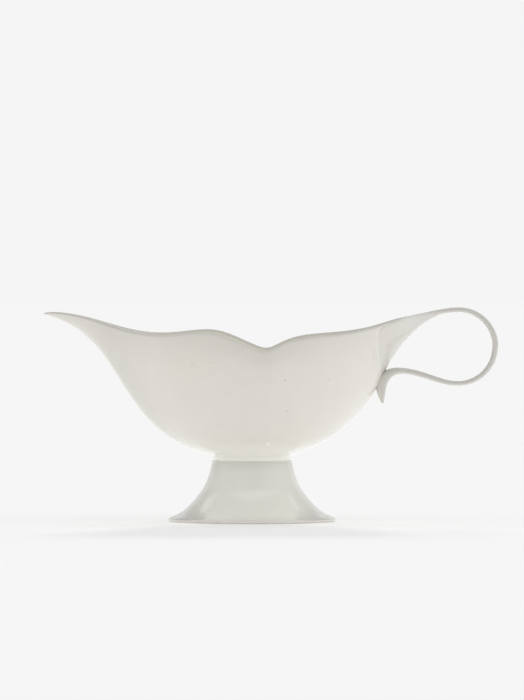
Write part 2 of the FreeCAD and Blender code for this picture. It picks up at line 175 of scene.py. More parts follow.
def through(ring):
    """Control points whose closed cubic spline passes through the points of ring."""
    control = np.array(ring, dtype=float)
    target = control.copy()
    for _ in range(NET_PASSES):
        smooth = (np.roll(control, 1, 0) + control * 4 + np.roll(control, -1, 0)) / 6
        control = control + target - smooth
    return control


def spline_weights(t):
    """Weights of the four control points round a span of a uniform cubic spline."""
    return ((1 - t) ** 3 / 6, (3 * t ** 3 - 6 * t ** 2 + 4) / 6,
            (-3 * t ** 3 + 3 * t ** 2 + 3 * t + 1) / 6, t ** 3 / 6)


def refine(net, steps, closed):
    """Points of the cubic splines along the first axis of net, with a number of steps to a span."""
    count = len(net)
    if closed:
        padded = np.concatenate([net[-1:], net, net[:2]])
        spans = count
    else:
        padded = np.concatenate([[2 * net[0] - net[1]], net, [2 * net[-1] - net[-2]]])
        spans = count - 1
    points = []
    for span in range(spans):
        for step in range(steps):
            weights = spline_weights(step / steps)
            points.append(sum(w * padded[span + k] for k, w in enumerate(weights)))
    if not closed:
        points.append(net[-1])
    return np.array(points)


def spline_grid(rows, around=4, along=4, closed=False):
    """Fine grid of surface points over closed rows of control points."""
    net = refine(np.array(rows), along, closed)
    return refine(net.transpose(1, 0, 2), around, True).transpose(1, 0, 2)


def mesh_from_grid(name, grid, closed=False):
    """Object of quads over a grid of closed rings in millimetres. Its ends are closed to a point,
    unless the rings close too."""
    rows, count = grid.shape[:2]
    points = list(grid.reshape(-1, 3) * MM)
    faces = []
    for r in range(rows if closed else rows - 1):
        low, high = r * count, (r + 1) % rows * count
        for i in range(count):
            after = (i + 1) % count
            faces.append((low + i, low + after, high + after, high + i))
    if not closed:
        for row, turn in ((0, 1), (rows - 1, -1)):
            middle = len(points)
            points.append(grid[row].mean(0) * MM)
            for i in range(count):
                fan = (row * count + (i + 1) % count, row * count + i, middle)
                faces.append(fan[::turn])
    mesh = bpy.data.meshes.new(name)
    mesh.from_pydata([tuple(p) for p in points], [], faces)
    mesh.update()
    if signed_volume(mesh) < 0:
        mesh.flip_normals()
    mesh.shade_smooth()
    piece = bpy.data.objects.new(name, mesh)
    bpy.context.scene.collection.objects.link(piece)
    return piece


def signed_volume(mesh):
    """Six times the volume of a closed mesh, below zero if its faces point inwards."""
    mesh.calc_loop_triangles()
    corners = [mesh.vertices[i].co for t in mesh.loop_triangles for i in t.vertices]
    return sum(a.dot(b.cross(c)) for a, b, c in zip(corners[::3], corners[1::3], corners[2::3]))


# ---------------------------------------------------------------------------
# Bowl
# ---------------------------------------------------------------------------

def whole_ring(half):
    """Closed ring from the points of its +Y side."""
    return half + [Vector((p.x, -p.y, p.z)) for p in reversed(half[1:-1])]


def inward_normals(rim):
    """Unit vectors in plan that point from the rim into the bowl."""
    normals = []
    for i, point in enumerate(rim):
        before = rim[i - 1] if i else Vector((rim[1].x, -rim[1].y, 0))
        after = rim[i + 1] if i < len(rim) - 1 else Vector((rim[-2].x, -rim[-2].y, 0))
        run = after - before
        normals.append(Vector((-run.y, run.x, 0)).normalized())
    return normals


def column_cosine(rim, point):
    """Share of the way from amidships to the rear point or to the tip."""
    return point.x / (rim[0].x if point.x > 0 else -rim[-1].x)


def hull_rows(base_radius, base_height, rim):
    """Rows of one side of the hull, from the base circle up to the rim."""
    rows = []
    for fraction in ROW_FRACTIONS + (1.0,):
        shares = []
        for line in (SPOUT_KEEL, REAR_KEEL, SIDE_LINE):
            out, up = curve_point(line, fraction)
            first, last = line[0], line[-1]
            shares.append(((out - first[0]) / (last[0] - first[0]),
                           (up - first[1]) / (last[1] - first[1])))
        row = []
        for point in rim:
            cosine = column_cosine(rim, point)
            keel = shares[1] if cosine > 0 else shares[0]
            weight = cosine ** 2
            out = weight * keel[0] + (1 - weight) * shares[2][0]
            up = weight * keel[1] + (1 - weight) * shares[2][1]
            base_x = base_radius * cosine
            base_y = base_radius * math.sqrt(1 - cosine ** 2)
            row.append(Vector((base_x + (point.x - base_x) * out, base_y + (point.y - base_y) * out,
                               base_height + (point.z - base_height) * up)))
        rows.append(row)
    return rows


def circle_row(rim, radius, height):
    row = []
    for point in rim:
        cosine = column_cosine(rim, point)
        row.append(Vector((radius * cosine, radius * math.sqrt(1 - cosine ** 2), height)))
    return row


def base_rows(rim):
    """From the middle of the underside, down inside the base ring and up its outside to the waist."""
    foot = FOOT_HEIGHT + SLIP_THICKNESS
    waist = foot + BASE_RING_HEIGHT
    radius, bore = BASE_RING_RADIUS, BASE_RING_BORE
    profile = [(4.0, waist), (10.0, waist), (15.5, waist), (bore - 0.4, waist - 0.1), (bore, waist - 0.8),
               (bore, foot + 1.0), (bore + 0.1, foot + 0.2), (bore + 0.8, foot), (radius - 0.6, foot),
               (radius, foot + 0.3), (radius, foot + 1.0), (radius, foot + 1.9), (radius, waist - 0.3)]
    return [circle_row(rim, *corner) for corner in profile]


def base_height():
    return FOOT_HEIGHT + SLIP_THICKNESS + BASE_RING_HEIGHT + HULL_START_RISE


def thicken_keel(row, share):
    """Raises the inner wall over the keel, where the slope would leave the wall thin."""
    tip = row[-1].x
    extra = KEEL_EXTRA_WALL * 4 * share * (1 - share)
    return [p + Vector((0, 0, extra * max(0.0, p.x / tip) ** 2)) for p in row]


def outer_hull_rows():
    rim = [Vector(p) for p in RIM]
    drop = Vector((0, 0, LIP_DROP))
    return hull_rows(BASE_RING_RADIUS, base_height(), [p - drop for p in rim])


def bowl_rows():
    """Rows of control points: from under the bowl, up the hull, over the lip and down to the floor."""
    rim = [Vector(p) for p in RIM]
    inward = inward_normals(rim)
    lip = [[p + n * (WALL * share) for p, n in zip(rim, inward)] for share in LIP_SHOULDERS]
    inner_rim = [p + n * WALL - Vector((0, 0, LIP_DROP)) for p, n in zip(rim, inward)]
    floor = base_height() + FLOOR_THICKNESS
    inner = hull_rows(BASE_RING_RADIUS - WALL, floor, inner_rim)
    inner = [thicken_keel(row, i / (len(inner) - 1)) for i, row in enumerate(inner)]
    floor_rows = [circle_row(rim, radius, floor) for radius in FLOOR_RADII]
    half_rows = base_rows(rim) + outer_hull_rows() + lip + inner[::-1][:-1] + floor_rows
    return [through(whole_ring(row)) for row in half_rows]


def rim_distances(grid):
    """Distance from the lip over the bowl's skin, in metres: above zero outside, below zero inside."""
    lip = int(np.argmax(grid[:, :, 2].mean(1)))
    steps = np.linalg.norm(np.diff(grid, axis=0), axis=2)
    outside = np.cumsum(steps[:lip][::-1], axis=0)[::-1]
    inside = -np.cumsum(steps[lip:], axis=0)
    middle = np.zeros((1, grid.shape[1]))
    return np.concatenate([outside, middle, inside]).reshape(-1) * MM


def make_bowl():
    grid = spline_grid(bowl_rows())
    bowl = mesh_from_grid("bowl_casting", grid)
    ends = [FAR_FROM_LIP, -FAR_FROM_LIP]
    layer = bowl.data.attributes.new("rim_distance", "FLOAT", "POINT")
    layer.data.foreach_set("value", [*rim_distances(grid), *ends])
    return bowl


def filler_rows(depth):
    """Rows of a solid that fills the hull and the space above it, shrunk by a depth."""
    rim = [Vector(p) for p in RIM]
    low = base_height() - BASE_RING_HEIGHT
    rows = [whole_ring(circle_row(rim, BASE_RING_RADIUS, low + rise)) for rise in (0.0, 1.0, 2.0)]
    rows += [whole_ring(row) for row in outer_hull_rows()]
    top = rows[-1]
    rows.append([Vector((p.x, p.y, p.z + FILLER_COLLAR)) for p in top])
    rows.append([Vector((p.x, p.y, FILLER_TOP)) for p in top])
    shrunk = []
    for j, row in enumerate(rows):
        below, above = rows[max(j - 1, 0)], rows[min(j + 1, len(rows) - 1)]
        ring = []
        for i, point in enumerate(row):
            around = row[(i + 1) % len(row)] - row[i - 1]
            outward = around.cross(above[i] - below[i]).normalized()
            if j in (0, len(rows) - 1):
                outward = Vector((outward.x, outward.y, 0)).normalized()
            ring.append(point - outward * depth)
        shrunk.append(through(ring))
    return shrunk


# ---------------------------------------------------------------------------
# Foot
# ---------------------------------------------------------------------------

def lathe(name, section, count=144, along=4):
    """Solid of revolution of a closed smooth half section."""
    profile = refine(np.array(section, dtype=float), along, True)
    turns = np.linspace(0, 2 * math.pi, count, endpoint=False)
    radius, height = profile[:, 0, None], profile[:, 1, None]
    grid = np.stack([radius * np.cos(turns), radius * np.sin(turns),
                     np.broadcast_to(height, (len(profile), count))], axis=2)
    return mesh_from_grid(name, grid, closed=True)


def make_foot():
    return lathe("foot_casting", FOOT_SECTION)


def make_foot_bead():
    return lathe("foot_slip_bead", FOOT_BEAD_SECTION)


# ---------------------------------------------------------------------------
# Handle
# ---------------------------------------------------------------------------

def power(value, exponent):
    return math.copysign(abs(value) ** exponent, value)


def section_ring(centre, up, half_width, top, depth, roundness):
    """Closed section: half_width to each side, top above the centre and depth below it."""
    ring = []
    for i in range(SECTION_POINTS):
        angle = 2 * math.pi * i / SECTION_POINTS
        under = math.sin(angle) < 0
        exponent = 2 / (roundness if under else STRAP_ROUNDNESS)
        rise = power(math.sin(angle), exponent) * (depth if under else top)
        ring.append(centre + up * rise + Vector((0, half_width * power(math.cos(angle), exponent), 0)))
    return np.array(ring)


def root_rows():
    """The saddle and web, from inside the bowl to the start of the strap."""
    rows = []
    half = LOOP_HALF_THICKNESS
    for top_x, top_z, under_x, under_z, half_width, roundness in ROOT_SECTIONS:
        top = Vector((top_x, 0, top_z))
        up = (top - Vector((under_x, 0, under_z))).normalized()
        depth = math.dist((top_x, top_z), (under_x, under_z)) - half
        rows.append(section_ring(top - up * half, up, half_width, half, depth, roundness))
    return rows


def strap_rows():
    """The strap, from the end of the web round the loop to the tip of the tail."""
    stations = []
    for angle in LOOP_ANGLES:
        turn = math.radians(angle)
        extra = LOOP_EXTRA_HALF_THICKNESS * max(0.0, math.cos(turn))
        stations.append((LOOP_CENTRE[0] + LOOP_RADIUS * math.cos(turn),
                         LOOP_CENTRE[1] + LOOP_RADIUS * math.sin(turn),
                         LOOP_HALF_WIDTH, LOOP_HALF_THICKNESS + extra))
    stations += STRAP_END
    rows = []
    for i, (x, z, half_width, half_thickness) in enumerate(stations):
        before, after = stations[max(i - 1, 0)], stations[min(i + 1, len(stations) - 1)]
        run = Vector((after[0] - before[0], 0, after[1] - before[1])).normalized()
        up = Vector((-run.z, 0, run.x))
        rows.append(section_ring(Vector((x, 0, z)), up, half_width, half_thickness, half_thickness,
                                 STRAP_ROUNDNESS))
    return rows


def cut_away(piece, tool):
    """Removes the tool's solid from the piece, and then the tool."""
    cut = piece.modifiers.new("cut", "BOOLEAN")
    cut.object = tool
    cut.operation = "DIFFERENCE"
    cut.solver = "EXACT"
    cut.use_self = True
    result = piece.evaluated_get(bpy.context.evaluated_depsgraph_get())
    mesh = bpy.data.meshes.new_from_object(result)
    piece.modifiers.clear()
    piece.data = mesh
    mesh.shade_smooth()
    mesh.set_sharp_from_angle(angle=math.radians(SHARP_ANGLE))
    bpy.data.objects.remove(tool)


def make_handle():
    handle = mesh_from_grid("handle_casting", spline_grid(root_rows() + strap_rows(), 5, 5))
    cut_away(handle, mesh_from_grid("handle_cutter", spline_grid(filler_rows(HANDLE_CUT_DEPTH))))
    return handle


def inside_depth(tree, point):
    """How deep a point lies under the surface of a mesh, below zero outside it."""
    place, normal, _, _ = tree.find_nearest(point)
    return (place - point).dot(normal)


def seam_profile(place, along, outward, normal, reach):
    """Closed section of the fillet in the corner between the handle's skin and the bowl's skin."""
    away = (outward - normal * outward.dot(normal)).normalized()
    corner = place - (outward + normal) * BEAD_BACK
    skin = reach * BEAD_SKIN
    return [
        corner + along * reach,
        place + along * reach * BEAD_TOE - outward * BEAD_TUCK,
        place + along * reach * BEAD_SHOULDER + outward * skin,
        place + (along + away) * reach * BEAD_HOLLOW + (outward + normal) * skin * 0.5,
        place + away * reach * BEAD_SHOULDER + normal * skin,
        place + away * reach * BEAD_TOE - normal * BEAD_TUCK,
        corner + away * reach,
        corner,
    ]


def make_handle_bead():
    """Fillet of slip along the line where the handle's root meets the bowl."""
    rows = spline_grid(root_rows() + strap_rows()[:1], 4, 16)
    tool = mesh_from_grid("hull_skin", spline_grid(filler_rows(0.0)))
    tree = BVHTree.FromPolygons([v.co / MM for v in tool.data.vertices],
                                [tuple(p.vertices) for p in tool.data.polygons])
    bpy.data.objects.remove(tool)
    rings = []
    count = rows.shape[1]
    for i in range(count):
        column = [Vector(p) for p in rows[:, i]]
        deep = [inside_depth(tree, p) for p in column]
        last = max(k for k, depth in enumerate(deep) if depth > 0)
        share = deep[last] / (deep[last] - deep[last + 1])
        place = column[last].lerp(column[last + 1], share)
        along = (column[last + 1] - column[last]).normalized()
        side = Vector(rows[last, (i + 1) % count]) - Vector(rows[last, i - 1])
        outward = side.cross(along).normalized()
        middle = Vector(rows[last].mean(0))
        if outward.dot(place - middle) < 0:
            outward = -outward
        normal = tree.find_nearest(place)[1]
        fade = min(1.0, max(0.0, (RIM[0][2] - LIP_DROP - place.z) / BEAD_FADE))
        reach = BEAD_REACH * (BEAD_LEAST_SHARE + (1 - BEAD_LEAST_SHARE) * fade)
        rings.append([np.array(p) for p in seam_profile(place, along, outward, normal, reach)])
    grid = np.array(rings)
    grid = refine(grid.transpose(1, 0, 2), 3, True)
    return mesh_from_grid("handle_slip_bead", grid, closed=True)


# ---------------------------------------------------------------------------
# Materials
# ---------------------------------------------------------------------------

BODY_COLOUR = (0.812, 0.788, 0.725)
# Pale cream: a painted glow round the base ring, and the tone of the bowl's inside and of a pale speck.
PALE_CREAM_COLOUR = (0.985, 0.970, 0.890)
FOOT_COLOUR = (0.862, 0.852, 0.796)
HANDLE_COLOUR = (0.798, 0.782, 0.738)
# Painted shade at the handle's seam.
SEAM_SHADE_COLOUR = (0.700, 0.668, 0.600)
# Strap and curl: a darker tone, with painted shade on their upper side.
STRAP_COLOUR = (0.606, 0.592, 0.540)
SLIP_COLOUR = (0.815, 0.796, 0.742)
BARE_COLOUR = (0.545, 0.497, 0.385)
PINHOLE_COLOUR = (0.500, 0.460, 0.370)
CLOUD_TINT = (0.965, 0.96, 0.935)

# Sizes of the glaze's marks, as the noise scale over a metre.
CLOUD_SCALE = 22.0
MOTTLE_SCALE = 130.0
PINHOLE_SCALE = 55.0
RIPPLE_SCALE = 60.0
PEEL_SCALE = 900.0
WAVER_SCALE = 160.0
LUMP_SCALE = 90.0
MOTTLE_DETAIL = 4.0
FINE_DETAIL = 3.0

# Where the noise turns into a mark, from none to full, and how strongly the mark shows.
CLOUD_RANGE, CLOUD_SHARE = (0.35, 0.7), 0.55
MOTTLE_RANGE, MOTTLE_SHARE, MOTTLE_TINT = (0.3, 0.75), 0.35, 0.95
PINHOLE_EDGE, PINHOLE_RARITY = (0.012, 0.03), 0.72
LUMP_RANGE, LUMP_SHARE = (0.4, 0.7), 0.5
SPECK_SHARE, SPECK_CORE = 0.25, 0.4

# Gloss: roughness of the body under its coat, depth of the ripples, share of the peel in them.
ROUGHNESS_RANGE, ROUGHNESS = (0.25, 0.8), (0.30, 0.42)
RIPPLE_STRENGTH, RIPPLE_DEPTH, PEEL_SHARE = 0.25, 0.0004, 0.06
GLAZE_IOR = 1.5
COAT_ROUGHNESS = 0.03

# Places in metres over which one tone passes into the next, and the tone's share or brightness.
# Painted shade along the spout's keel: its sides, rear and front, and how much it darkens.
SPOUT_KEEL_SIDES, SPOUT_REAR, SPOUT_FRONT = (0.012, 0.032), (-0.056, -0.030), (-0.095, -0.072)
SPOUT_FRONT_SHARE, SPOUT_SHADE = 0.4, 0.12
# Heights over which the painted pale glow round the base ring fades out.
PAINTED_GLOW_HEIGHTS = (0.034, 0.046)
# Painted shade over distances from the lip: a dark line along the lip and a darker band down the upper
# wall.
LIP_EDGE, LIP_EDGE_TONE = (0.0002, 0.0022), 0.80
LIP_BAND, LIP_BAND_TONE = (0.0, 0.022), 0.95
BOWL_INSIDE = (-0.003, -0.001)
# Painted shade on the foot: under the slip line, on the lip, and the tint that it darkens to.
FOOT_TOP_HEIGHTS, FOOT_TOP_SHARE = (0.026, 0.0314), 0.25
FOOT_LIP_HEIGHTS, FOOT_LIP_SHARE = (0.0016, 0.0034), 0.5
FOOT_SHADE_TINT = 0.75
BARE_HEIGHTS, BARE_WAVER = (0.0007, 0.0012), 0.0006
# Painted shade along the handle's seam, where the root meets the bowl.
SEAM_RUN, SEAM_SHARE = (0.068, 0.086), 0.55
UPPER_STRAP_RUN = (0.086, 0.102)
LOWER_STRAP_HEIGHTS, LOWER_STRAP_RUN = (0.079, 0.083), (0.0645, 0.069)
# Painted shade on the strap: the upward slope of its normal over which the shade grows, and its share on
# the under side.
STRAP_SLOPE, STRAP_UNDER_SHARE = (-0.85, 0.35), 0.35

# Larger specks in the glaze, on the -Y side: x, z and radius, in metres.
DARK_SPECKS = [(-0.0308, 0.0841, 0.0009), (-0.0209, 0.0849, 0.0008), (0.0408, 0.0760, 0.0009),
               (0.0189, 0.0594, 0.0009)]
PALE_SPECK = (0.0089, 0.0418, 0.0012)


def node(tree, kind, **settings):
    made = tree.nodes.new("ShaderNode" + kind)
    for name, value in settings.items():
        setattr(made, name, value)
    return made


def feed(tree, socket, value):
    """Links a socket to the input, or sets the input to a value."""
    if isinstance(value, bpy.types.NodeSocket):
        tree.links.new(value, socket)
    else:
        socket.default_value = value


def calculate(tree, operation, *values, clamp=False):
    made = node(tree, "Math", operation=operation, use_clamp=clamp)
    for socket, value in zip(made.inputs, values):
        feed(tree, socket, value)
    return made.outputs[0]


def smooth_step(tree, value, low, high, start=0.0, end=1.0):
    """Passes smoothly from start, where the value is low, to end, where it is high."""
    made = node(tree, "MapRange", interpolation_type="SMOOTHSTEP")
    settings = {"Value": value, "From Min": low, "From Max": high, "To Min": start, "To Max": end}
    for name, setting in settings.items():
        feed(tree, made.inputs[name], setting)
    return made.outputs["Result"]


def blend(tree, share, first, second, kind="MIX"):
    """Colour between the first and the second, by their share."""
    made = node(tree, "Mix", data_type="RGBA", blend_type=kind)
    feed(tree, made.inputs[0], share)
    for socket, colour in ((made.inputs[6], first), (made.inputs[7], second)):
        feed(tree, socket, (*colour, 1) if isinstance(colour, tuple) else colour)
    return made.outputs[2]


def noise(tree, place, scale, detail=2.0):
    made = node(tree, "TexNoise")
    feed(tree, made.inputs["Vector"], place)
    made.inputs["Scale"].default_value = scale
    made.inputs["Detail"].default_value = detail
    return made.outputs["Fac"]


def axes(tree, place):
    return node_outputs(tree, "SeparateXYZ", place)


def node_outputs(tree, kind, value):
    made = node(tree, kind)
    feed(tree, made.inputs[0], value)
    return list(made.outputs)


def spot(tree, place, x, z, radius):
    """Round spot on the side that faces -Y, at x and z in metres."""
    across, depth, up = axes(tree, place)
    out = calculate(tree, "ADD", calculate(tree, "POWER", calculate(tree, "SUBTRACT", across, x), 2.0),
                    calculate(tree, "POWER", calculate(tree, "SUBTRACT", up, z), 2.0))
    near = smooth_step(tree, calculate(tree, "SQRT", out), radius * SPECK_CORE, radius, 1.0, 0.0)
    return calculate(tree, "MULTIPLY", near, calculate(tree, "LESS_THAN", depth, 0.0))


def china(tree, place, colour):
    """Cloudy tone of the body under its glaze: wide clouds, fine mottling and a few iron pinholes."""
    clouds = smooth_step(tree, noise(tree, place, CLOUD_SCALE), *CLOUD_RANGE)
    toned = blend(tree, calculate(tree, "MULTIPLY", clouds, CLOUD_SHARE), colour,
                  tuple(c * s for c, s in zip(colour, CLOUD_TINT)))
    mottle = smooth_step(tree, noise(tree, place, MOTTLE_SCALE, MOTTLE_DETAIL), *MOTTLE_RANGE)
    toned = blend(tree, calculate(tree, "MULTIPLY", mottle, MOTTLE_SHARE), toned,
                  tuple(c * MOTTLE_TINT for c in colour))
    cells = node(tree, "TexVoronoi")
    feed(tree, cells.inputs["Vector"], place)
    cells.inputs["Scale"].default_value = PINHOLE_SCALE
    hole = smooth_step(tree, cells.outputs["Distance"], *PINHOLE_EDGE, 1.0, 0.0)
    chosen = node_outputs(tree, "SeparateColor", cells.outputs["Color"])[0]
    rare = calculate(tree, "GREATER_THAN", chosen, PINHOLE_RARITY)
    return blend(tree, calculate(tree, "MULTIPLY", hole, rare), toned, PINHOLE_COLOUR)


def glaze_surface(tree, shader, place, colour):
    """Gloss of the glaze: a smooth coat with slow ripples over a softer body."""
    feed(tree, shader.inputs["Base Color"], colour)
    patches = noise(tree, place, MOTTLE_SCALE, FINE_DETAIL)
    soft = smooth_step(tree, patches, *ROUGHNESS_RANGE, *ROUGHNESS)
    feed(tree, shader.inputs["Roughness"], soft)
    ripple = node(tree, "Bump")
    ripple.inputs["Strength"].default_value = RIPPLE_STRENGTH
    ripple.inputs["Distance"].default_value = RIPPLE_DEPTH
    peel = noise(tree, place, PEEL_SCALE, FINE_DETAIL)
    waves = calculate(tree, "ADD", noise(tree, place, RIPPLE_SCALE),
                      calculate(tree, "MULTIPLY", peel, PEEL_SHARE))
    feed(tree, ripple.inputs["Height"], waves)
    feed(tree, shader.inputs["Normal"], ripple.outputs["Normal"])
    feed(tree, shader.inputs["Coat Normal"], ripple.outputs["Normal"])
    shader.inputs["IOR"].default_value = GLAZE_IOR
    shader.inputs["Coat Weight"].default_value = 1.0
    shader.inputs["Coat Roughness"].default_value = COAT_ROUGHNESS


def new_material(name):
    material = bpy.data.materials.new(name)
    material.use_nodes = True
    tree = material.node_tree
    place = node(tree, "TexCoord").outputs["Object"]
    return material, tree, tree.nodes["Principled BSDF"], place


def spout_shade(tree, place):
    """Painted shade: slight darkening along the keel of the spout."""
    along, side, _ = axes(tree, place)
    keel = smooth_step(tree, calculate(tree, "ABSOLUTE", side), *SPOUT_KEEL_SIDES, 1.0, 0.0)
    spout = calculate(tree, "MULTIPLY", smooth_step(tree, along, *SPOUT_REAR, 1.0, 0.0),
                      smooth_step(tree, along, *SPOUT_FRONT, SPOUT_FRONT_SHARE, 1.0))
    darker = calculate(tree, "MULTIPLY", calculate(tree, "MULTIPLY", keel, spout), SPOUT_SHADE)
    return calculate(tree, "SUBTRACT", 1.0, darker)


def bowl_glaze():
    """Painted shade over the lip, down the upper wall and along the spout's keel; creamier inside; and a
    painted pale glow round the base ring.
    """
    material, tree, shader, place = new_material("bowl_glaze")
    up = axes(tree, place)[2]
    colour = china(tree, place, BODY_COLOUR)
    # Painted light: the underside round the base ring glows pale cream.
    painted_glow = smooth_step(tree, up, *PAINTED_GLOW_HEIGHTS, 1.0, 0.0)
    colour = blend(tree, painted_glow, colour, PALE_CREAM_COLOUR)
    drop = node(tree, "Attribute", attribute_name="rim_distance").outputs["Fac"]
    # Painted shade: a dark line along the lip and a darker band down the upper wall.
    painted_shade = smooth_step(tree, calculate(tree, "ABSOLUTE", drop), *LIP_EDGE, LIP_EDGE_TONE, 1.0)
    lip = calculate(tree, "MULTIPLY", painted_shade, smooth_step(tree, drop, *LIP_BAND, LIP_BAND_TONE, 1.0))
    inside = smooth_step(tree, drop, *BOWL_INSIDE, 1.0, 0.0)
    lip = calculate(tree, "MULTIPLY", lip, spout_shade(tree, place))
    shade = node(tree, "CombineColor")
    for socket in shade.inputs:
        feed(tree, socket, lip)
    colour = blend(tree, 1.0, colour, shade.outputs[0], "MULTIPLY")
    colour = blend(tree, inside, colour, PALE_CREAM_COLOUR)
    for x, z, radius in DARK_SPECKS:
        share = calculate(tree, "MULTIPLY", spot(tree, place, x, z, radius), SPECK_SHARE)
        colour = blend(tree, share, colour, PINHOLE_COLOUR)
    x, z, radius = PALE_SPECK
    colour = blend(tree, spot(tree, place, x, z, radius), colour, PALE_CREAM_COLOUR)
    glaze_surface(tree, shader, place, colour)
    return material


def foot_glaze():
    """Cooler and greyer than the bowl, with painted shade under the slip line and on the lip, and bare
    buff china on its ring."""
    material, tree, shader, place = new_material("foot_glaze")
    up = axes(tree, place)[2]
    colour = china(tree, place, FOOT_COLOUR)
    # Painted shade under the slip line and on the lip.
    under_slip = smooth_step(tree, up, *FOOT_TOP_HEIGHTS, 0.0, FOOT_TOP_SHARE)
    lip = smooth_step(tree, up, *FOOT_LIP_HEIGHTS, FOOT_LIP_SHARE, 0.0)
    for painted_shade in (under_slip, lip):
        colour = blend(tree, painted_shade, colour, tuple(c * FOOT_SHADE_TINT for c in FOOT_COLOUR))
    waver = calculate(tree, "MULTIPLY", noise(tree, place, WAVER_SCALE), BARE_WAVER)
    bare = smooth_step(tree, calculate(tree, "ADD", up, waver), *BARE_HEIGHTS, 1.0, 0.0)
    colour = blend(tree, bare, colour, BARE_COLOUR)
    glaze_surface(tree, shader, place, colour)
    return material


def handle_glaze():
    """Paler on the web, with painted shade at the seam; the strap and curl are darker, and painted shade
    makes them darkest on their upper side."""
    material, tree, shader, place = new_material("handle_glaze")
    out, _, up = axes(tree, place)
    colour = china(tree, place, HANDLE_COLOUR)
    # Painted shade at the seam.
    seam_shade = smooth_step(tree, out, *SEAM_RUN, SEAM_SHARE, 0.0)
    colour = blend(tree, seam_shade, colour, SEAM_SHADE_COLOUR)
    upper_strap = smooth_step(tree, out, *UPPER_STRAP_RUN)
    lower_strap = calculate(tree, "MULTIPLY", smooth_step(tree, up, *LOWER_STRAP_HEIGHTS, 1.0, 0.0),
                            smooth_step(tree, out, *LOWER_STRAP_RUN))
    strap = calculate(tree, "MAXIMUM", upper_strap, lower_strap)
    # Painted shade: the strap and curl darker where they face up.
    normal = node(tree, "NewGeometry").outputs["Normal"]
    facing_up = smooth_step(tree, axes(tree, normal)[2], *STRAP_SLOPE, STRAP_UNDER_SHARE, 1.0)
    painted_shade = calculate(tree, "MULTIPLY", strap, facing_up)
    colour = blend(tree, painted_shade, colour, STRAP_COLOUR)
    glaze_surface(tree, shader, place, colour)
    return material


def slip_glaze():
    """Fired slip in the joints, under the same glaze, a little yellower where it is thick."""
    material, tree, shader, place = new_material("slip_glaze")
    colour = china(tree, place, SLIP_COLOUR)
    lumps = smooth_step(tree, noise(tree, place, LUMP_SCALE), *LUMP_RANGE)
    colour = blend(tree, calculate(tree, "MULTIPLY", lumps, LUMP_SHARE), colour,
                   tuple(c * s for c, s in zip(SLIP_COLOUR, CLOUD_TINT)))
    glaze_surface(tree, shader, place, colour)
    return material


# ---------------------------------------------------------------------------
# Studio
# ---------------------------------------------------------------------------

# The backdrop that is seen; the table's side in metres, its white, and its own faint glow as the
# camera sees it and as the boat does.
BACKGROUND = 0.913
TABLE_SIZE = 12.0
TABLE_ALBEDO = 0.6
TABLE_GLOW = 0.319
TABLE_GLOW_UNSEEN = 0.45
# Lights behind the boat: degrees up, degrees of spread, strength.
BACK_LIGHTS = [(27, 11, 1.22), (60, 30, 0.345)]
BACK_LIGHT_AZIMUTH = 179

# Soft lights all round the table: degrees from the camera's side towards +X, degrees up, strength.
SOFT_LIGHTS = [
    (0, 35, 0.35), (0, 62, 0.70), (0, 90, 0.50),
    (-45, 10, 0.30), (45, 10, 0.50), (-50, 42, 0.75), (50, 42, 0.72),
    (-90, 10, 0.60), (90, 10, 0.85), (-95, 42, 0.65), (95, 42, 0.80),
    (-135, 12, 0.55), (135, 12, 0.70), (180, 12, 0.60), (-150, 45, 0.10), (150, 45, 0.35),
]
LIGHT_SPREAD = 25
# The round umbrella, in the plane one unit overhead, where the rear is above zero: its centre and
# radius, the line where it ends at the rear, how far it is turned, how wide its soft edge is and how
# bright it is. LEAST_HEIGHT keeps a direction along the table from being divided by zero.
UMBRELLA_CENTRE = (-0.03, 0.55)
UMBRELLA_RADIUS = 1.05
UMBRELLA_REAR = 0.88
UMBRELLA_SLANT = 0.14
UMBRELLA_EDGE = 0.05
UMBRELLA_GLOW = 0.9
LEAST_HEIGHT = 0.01
# Share of the soft lights that the glaze mirrors, and the two screens that it mirrors: how far to the
# rear and how high their glow passes from none to full, or back, as parts of a unit direction.
MIRRORED_SHARE = 0.55
BACKDROP_REAR = (0.60, 0.75)
BACKDROP_TOP = (0.30, 0.45)
BACKDROP_GLOW = 0.4
FRONT_WALL_REAR = (-0.6, 0.0)
FRONT_WALL_TOP = (0.0, 0.3)
FRONT_WALL_GLOW = 0.55

# Camera: the point it looks at, its distance, how far it stands to the side of that point, its height,
# the width of its view at the boat, its sensor in millimetres and the farthest thing it sees.
CAMERA_TARGET = Vector((0.0053, 0, 0.0906))
CAMERA_DISTANCE = 6.5
CAMERA_SIDE = 0.099
CAMERA_HEIGHT = 0.242
VIEW_WIDTH = 0.370
SENSOR_WIDTH = 36
CLIP_END = 50


def light_direction(azimuth, elevation):
    turn, rise = math.radians(azimuth), math.radians(elevation)
    return (math.sin(turn) * math.cos(rise), -math.cos(turn) * math.cos(rise), math.sin(rise))


def soft_light(tree, place, azimuth, elevation, strength):
    """Glow that fades smoothly away from one direction."""
    towards = node(tree, "VectorMath", operation="DOT_PRODUCT")
    feed(tree, towards.inputs[0], place)
    feed(tree, towards.inputs[1], light_direction(azimuth, elevation))
    facing = calculate(tree, "MAXIMUM", towards.outputs["Value"], 0.0)
    fall_off = 2 / math.radians(LIGHT_SPREAD) ** 2
    return calculate(tree, "MULTIPLY", calculate(tree, "POWER", facing, fall_off), strength)


